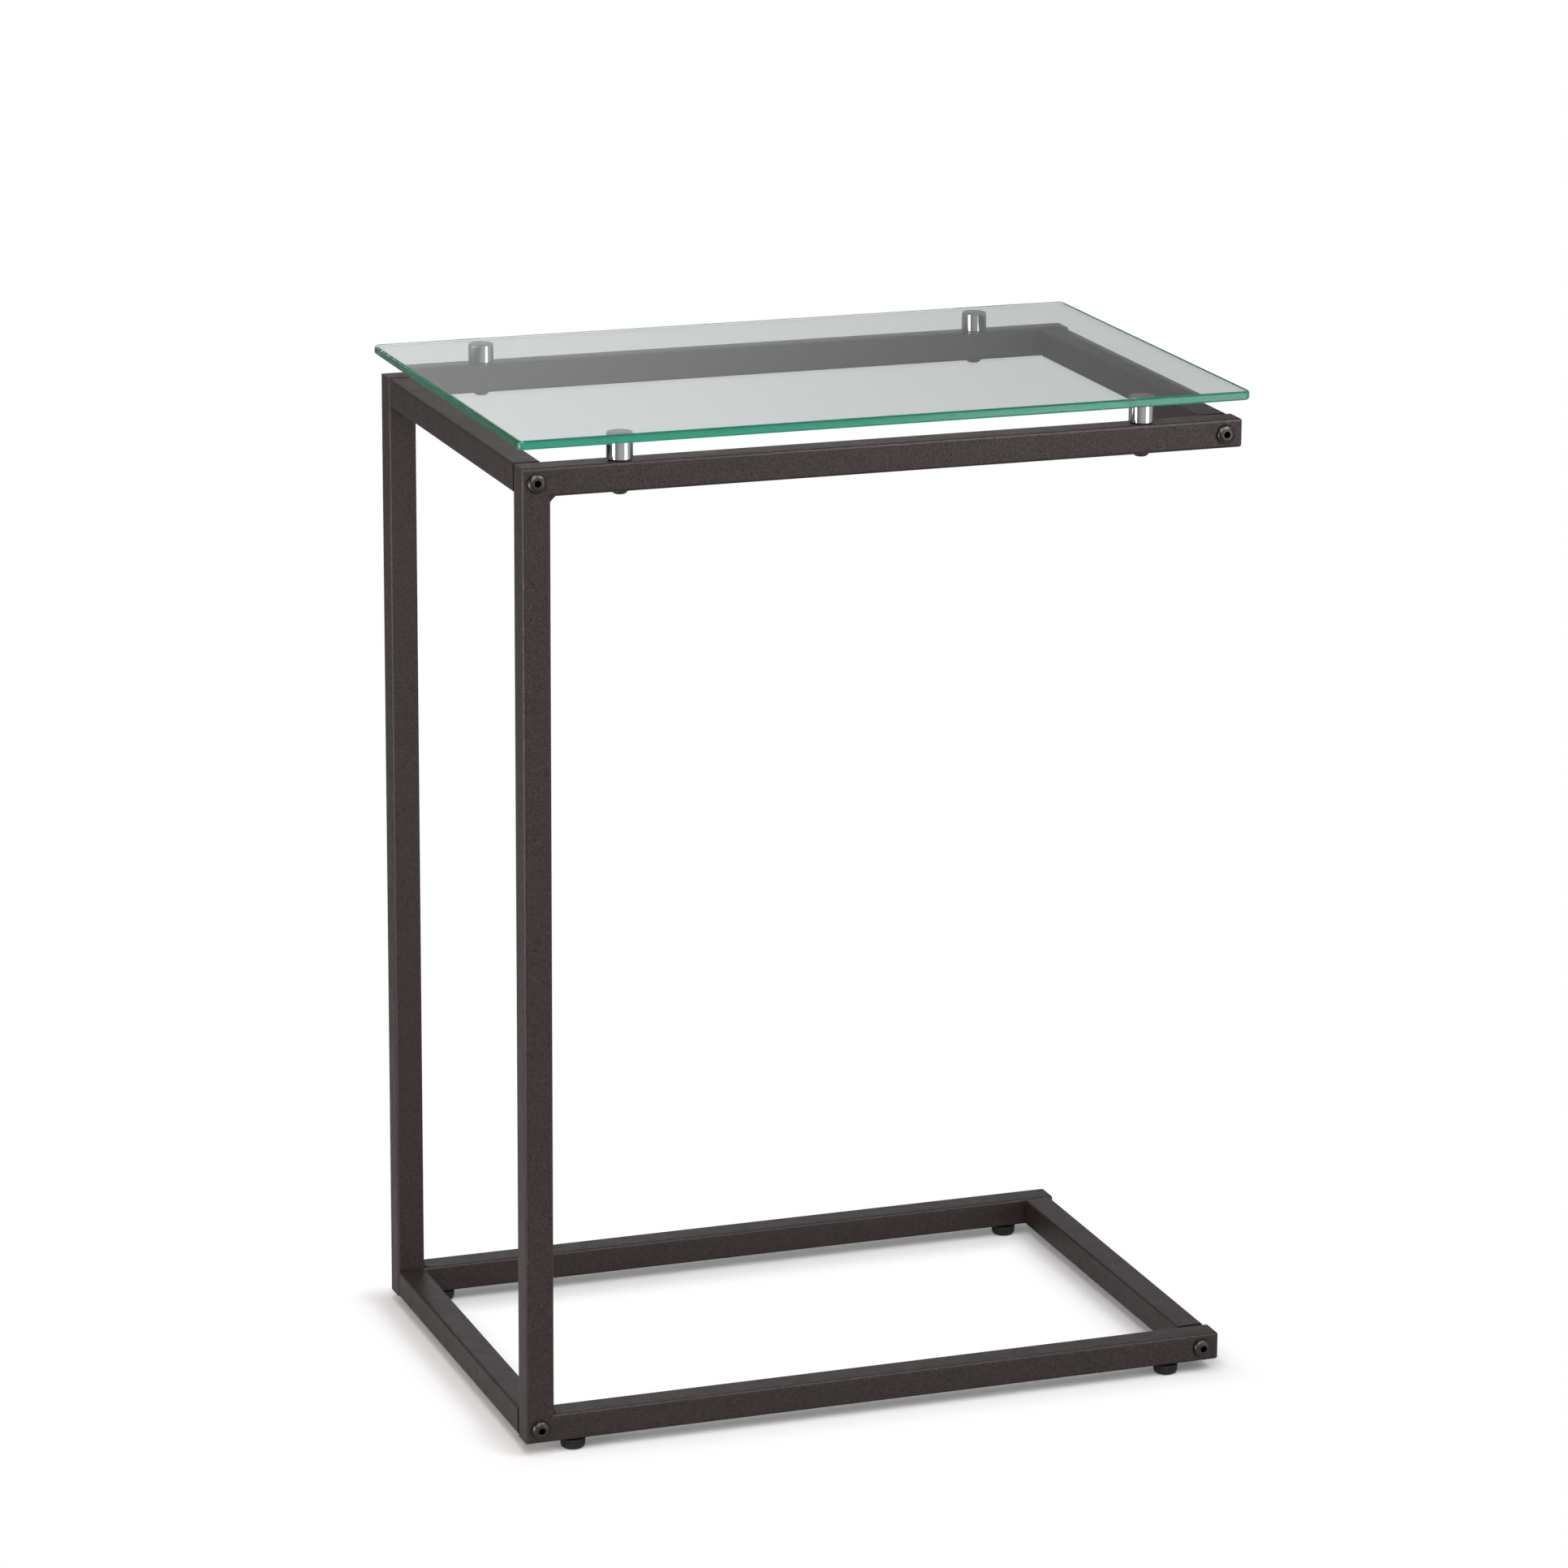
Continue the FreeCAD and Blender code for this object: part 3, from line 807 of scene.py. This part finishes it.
def distance_from_base(tree, half_tube):
    """Distance of a point of the floor from the middle lines of the base's four tubes. It starts
    as the distance from the rectangle round the tubes: outside, the length of the steps by which
    the point lies past the rectangle's sides, and inside, minus the distance to the nearest side.
    The middle lines lie half a tube further in, and the sign is dropped."""
    post_low, post_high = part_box("rear_post")
    plate_low, plate_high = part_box("front_base_end_plate")
    low = Vector((post_low.x, plate_low.y, 0))
    high = Vector((plate_high.x, post_high.y, 0))
    place = add(tree, "TexCoord").outputs["Object"]
    place = add(tree, "VectorMath", {0: place, 1: (low + high) / 2},
                operation="SUBTRACT").outputs[0]
    place = add(tree, "VectorMath", {0: place}, operation="ABSOLUTE").outputs[0]
    over = add(tree, "VectorMath", {0: place, 1: (high - low) / 2},
               operation="SUBTRACT").outputs[0]
    beyond = add(tree, "VectorMath", {0: over, 1: Vector((0, 0, 0))}, operation="MAXIMUM")
    outside = add(tree, "VectorMath", {0: beyond.outputs[0]}, operation="LENGTH").outputs["Value"]
    sides = add(tree, "SeparateXYZ", {0: over})
    nearest = add(tree, "Math", {0: sides.outputs["X"], 1: sides.outputs["Y"]},
                  operation="MAXIMUM").outputs[0]
    inside = add(tree, "Math", {0: nearest, 1: 0.0}, operation="MINIMUM").outputs[0]
    edge = add(tree, "Math", {0: outside, 1: inside}, operation="ADD").outputs[0]
    middle_line = add(tree, "Math", {0: edge, 1: half_tube}, operation="ADD").outputs[0]
    return add(tree, "Math", {0: middle_line}, operation="ABSOLUTE").outputs[0]


def white_paper():
    """Matt pale paper. To the camera, and through the glass, it is paler than the light makes it
    and keeps the table's soft shadow along the base. Away from the base's tubes it turns to plain
    white by a smooth step of the distance from them."""
    post_low, post_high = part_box("rear_post")
    half_tube = (post_high.y - post_low.y) / 2
    material, tree = new_material("pale_background_paper")
    path = add(tree, "LightPath")
    seen = add(tree, "Math", {0: path.outputs["Is Camera Ray"], 1: passed_on(tree, path)},
               operation="MAXIMUM").outputs[0]
    tone = add(tree, "Mix", {"Factor": seen, "A": linear("#a8a8a8"), "B": linear("#ffffff")},
               data_type="RGBA").outputs["Result"]
    paper = add(tree, "BsdfDiffuse", {"Color": tone})
    lift = add(tree, "Math", {0: seen, 1: paper_lift}, operation="MULTIPLY").outputs[0]
    glow = add(tree, "Emission", {"Color": (1, 1, 1, 1), "Strength": lift})
    near = add(tree, "AddShader", {0: paper.outputs[0], 1: glow.outputs[0]})
    white = add(tree, "Emission", {"Color": (1, 1, 1, 1), "Strength": 1.0})
    far = add(tree, "MapRange", {"Value": distance_from_base(tree, half_tube),
                                 "From Min": half_tube, "From Max": half_tube + shadow_reach},
              interpolation_type="SMOOTHSTEP").outputs[0]
    share = add(tree, "Math", {0: seen, 1: far}, operation="MULTIPLY").outputs[0]
    both = add(tree, "MixShader", {0: share, 1: near.outputs[0], 2: white.outputs[0]})
    add(tree, "OutputMaterial", {"Surface": both.outputs[0]})
    return material


floor_mesh = bpy.data.meshes.new("studio_floor")
floor_mesh.from_pydata([paper_low, (paper_high[0], paper_low[1], 0), paper_high,
                        (paper_low[0], paper_high[1], 0)], [], [(0, 1, 2, 3)])
floor_mesh.materials.append(white_paper())
floor = bpy.data.objects.new("studio_floor", floor_mesh)
bpy.context.scene.collection.objects.link(floor)


# Room
#
# Round the paper lies a dim room with three broad pale screens, which the coat and the chrome
# mirror. Each screen has a direction, the cosine of the angle at its rim, and a strength.
room_level = 0.09
white_below = 0.08
room_above = 0.2
pale_screens = (((0.15, -0.9, 0.3), 0.3, 0.36), ((0.97, 0.0, 0.2), 0.3, 0.3),
                ((0.09, 0.96, 0.27), 0.94, 0.44))


def dim_room():
    """World round the table. Each screen is a smooth step of the cosine of the angle from its
    middle. The camera sees plain white past the table. Low down the glass passes that white on and
    metal mirrors a share of it; as the ray's upright part grows, both turn to the room."""
    world = bpy.data.worlds.new("dim_room")
    world.use_nodes = True
    tree = world.node_tree
    tree.nodes.clear()
    direction = add(tree, "TexCoord").outputs["Generated"]
    level = room_level
    for toward, rim, strength in pale_screens:
        facing = add(tree, "VectorMath", {0: direction, 1: Vector(toward).normalized()},
                     operation="DOT_PRODUCT").outputs["Value"]
        screen = add(tree, "MapRange", {"Value": facing, "From Min": rim, "To Max": strength},
                     interpolation_type="SMOOTHSTEP").outputs[0]
        level = add(tree, "Math", {0: screen, 1: level}, operation="ADD").outputs[0]
    room = add(tree, "Background", {"Color": (1, 1, 1, 1), "Strength": level})
    path = add(tree, "LightPath")
    height = add(tree, "SeparateXYZ", {0: direction}).outputs["Z"]
    low_down = add(tree, "MapRange", {"Value": height, "From Min": white_below,
                                      "From Max": room_above,
                                      "To Min": 1.0, "To Max": 0.0}).outputs[0]
    passed = add(tree, "Math", {0: passed_on(tree, path), 1: low_down},
                 operation="MULTIPLY").outputs[0]
    seen = add(tree, "Math", {0: path.outputs["Is Camera Ray"], 1: passed},
               operation="MAXIMUM").outputs[0]
    white = add(tree, "Background", {"Color": (1, 1, 1, 1), "Strength": 1.0})
    both = add(tree, "MixShader", {0: seen, 1: room.outputs[0], 2: white.outputs[0]})
    add(tree, "OutputWorld", {"Surface": both.outputs[0]})
    return world


bpy.context.scene.world = dim_room()


# Lamps
#
# Plain soft boxes light the table: a large one high in front, two close over the top, two low at
# the left, a card low at the right and two weak ones behind.
def soft_box(name, place, target, size, watts, tint="#ffffff"):
    """Rectangular lamp at a place that faces a target. It isn't seen through the glass."""
    lamp = bpy.data.lights.new(name, "AREA")
    lamp.shape = "RECTANGLE"
    lamp.size, lamp.size_y = size
    lamp.energy = watts
    lamp.color = linear(tint)[:3]
    holder = bpy.data.objects.new(name, lamp)
    holder.visible_transmission = False
    holder.location = place
    holder.rotation_euler = (Vector(target) - Vector(place)).to_track_quat("-Z", "Y").to_euler()
    bpy.context.scene.collection.objects.link(holder)


soft_box("key_box", place=(-0.8, -2.0, 1.9), target=(0, 0, 0.35), size=(1.2, 1.3), watts=21.0)
soft_box("front_box", place=(0.55, -0.85, 1.35), target=(0.1, -0.1, 0.6), size=(0.6, 0.6),
         watts=7.0)
soft_box("top_box", place=(-0.4, -0.35, 1.5), target=(-0.1, -0.1, 0.66), size=(0.5, 0.5),
         watts=4.0, tint="#fff6f2")
soft_box("back_box", place=(0.3, 1.5, 2.0), target=(0, 0, 0.5), size=(1.6, 0.8), watts=2.6)
soft_box("back_card", place=(0.6, 2.0, 0.45), target=(0, 0, 0.1), size=(1.6, 0.5),
         watts=1.0, tint="#f3f6ff")
soft_box("left_box", place=(-1.3, 0.1, 0.4), target=(-0.2, 0, 0.4), size=(0.8, 0.8),
         watts=3.2, tint="#fff5f3")
soft_box("left_strip", place=(-1.3, -0.56, 0.27), target=(-0.25, -0.16, 0.4), size=(0.45, 0.5),
         watts=6.0, tint="#fff5f3")
soft_box("right_card", place=(1.1, -1.7, 0.25), target=(0, 0, 0.6), size=(0.9, 0.5), watts=3.6)


# Camera
#
# A long lens from the front left and a little above. Its place and turn were found from the
# straight edges of the table's tubes, on an image that is taken as 36 mm wide.
camera_place = Vector((-1.3707, -3.7484, 1.4920))
camera_yaw = math.radians(19.91)
camera_pitch = math.radians(15.38)
camera_roll = math.radians(0.37)
camera_lens = 141.1
camera_image_width = 36.0
camera = bpy.data.cameras.new("camera")
camera.sensor_width = camera_image_width
camera.lens = camera_lens
camera_holder = bpy.data.objects.new("camera", camera)
camera_turn = (Matrix.Rotation(-camera_yaw, 4, "Z")
               @ Matrix.Rotation(math.pi / 2 - camera_pitch, 4, "X")
               @ Matrix.Rotation(camera_roll, 4, "Z"))
camera_holder.matrix_world = Matrix.Translation(camera_place) @ camera_turn
bpy.context.scene.collection.objects.link(camera_holder)
bpy.context.scene.camera = camera_holder
bpy.context.scene.view_settings.view_transform = "Standard"
